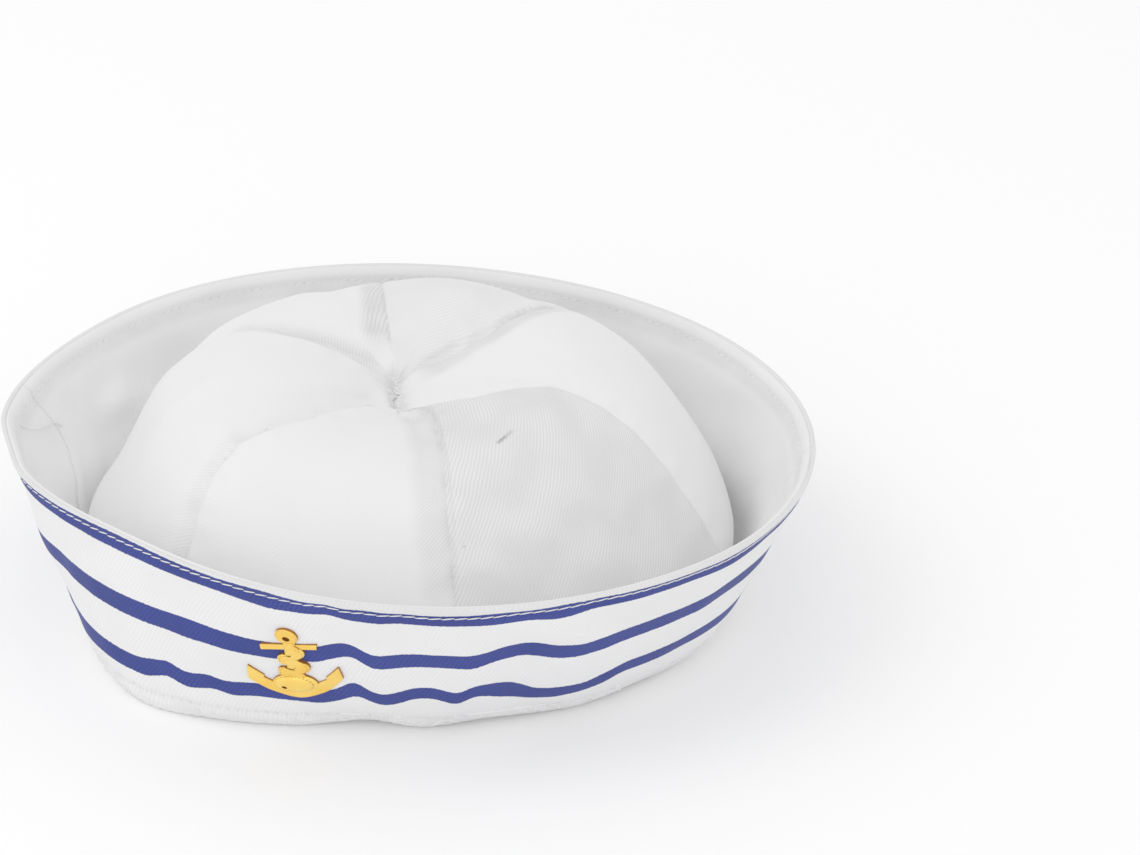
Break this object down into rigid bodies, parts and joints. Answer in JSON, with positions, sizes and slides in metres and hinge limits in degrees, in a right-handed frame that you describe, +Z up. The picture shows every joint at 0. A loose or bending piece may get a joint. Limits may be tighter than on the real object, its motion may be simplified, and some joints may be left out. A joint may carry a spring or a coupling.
{
  "type": "captain hat",
  "caption": "Sailor-style captain hat in white cotton twill: gored crown inside a turned-up, flared, blue-striped brim with a gold anchor badge on its front.",
  "frame": {"origin": "middle of the brim's outline in plan, on the surface that the hat stands on", "axes": "+Z up out of the crown, -Y towards the front with the badge, +X towards the wearer's left, along the hat's longest side"},
  "size_m": [0.2545, 0.2112, 0.0882],
  "materials": {
    "striped_cotton_twill": "woven, matt, white with printed blue stripes",
    "white_cotton_twill": "woven, matt",
    "gold_plated_badge": "die-cast, satin plating"
  },
  "bodies": {
    "root": {"brim_outer_front": "striped_cotton_twill", "brim_outer_back": "striped_cotton_twill", "brim_facing_front": "white_cotton_twill", "brim_facing_back": "white_cotton_twill", "crown_gore_1": "white_cotton_twill", "crown_gore_2": "white_cotton_twill", "crown_gore_3": "white_cotton_twill", "crown_gore_4": "white_cotton_twill", "crown_gore_5": "white_cotton_twill", "crown_gore_6": "white_cotton_twill", "anchor_badge": "gold_plated_badge"}
  },
  "joints": []
}
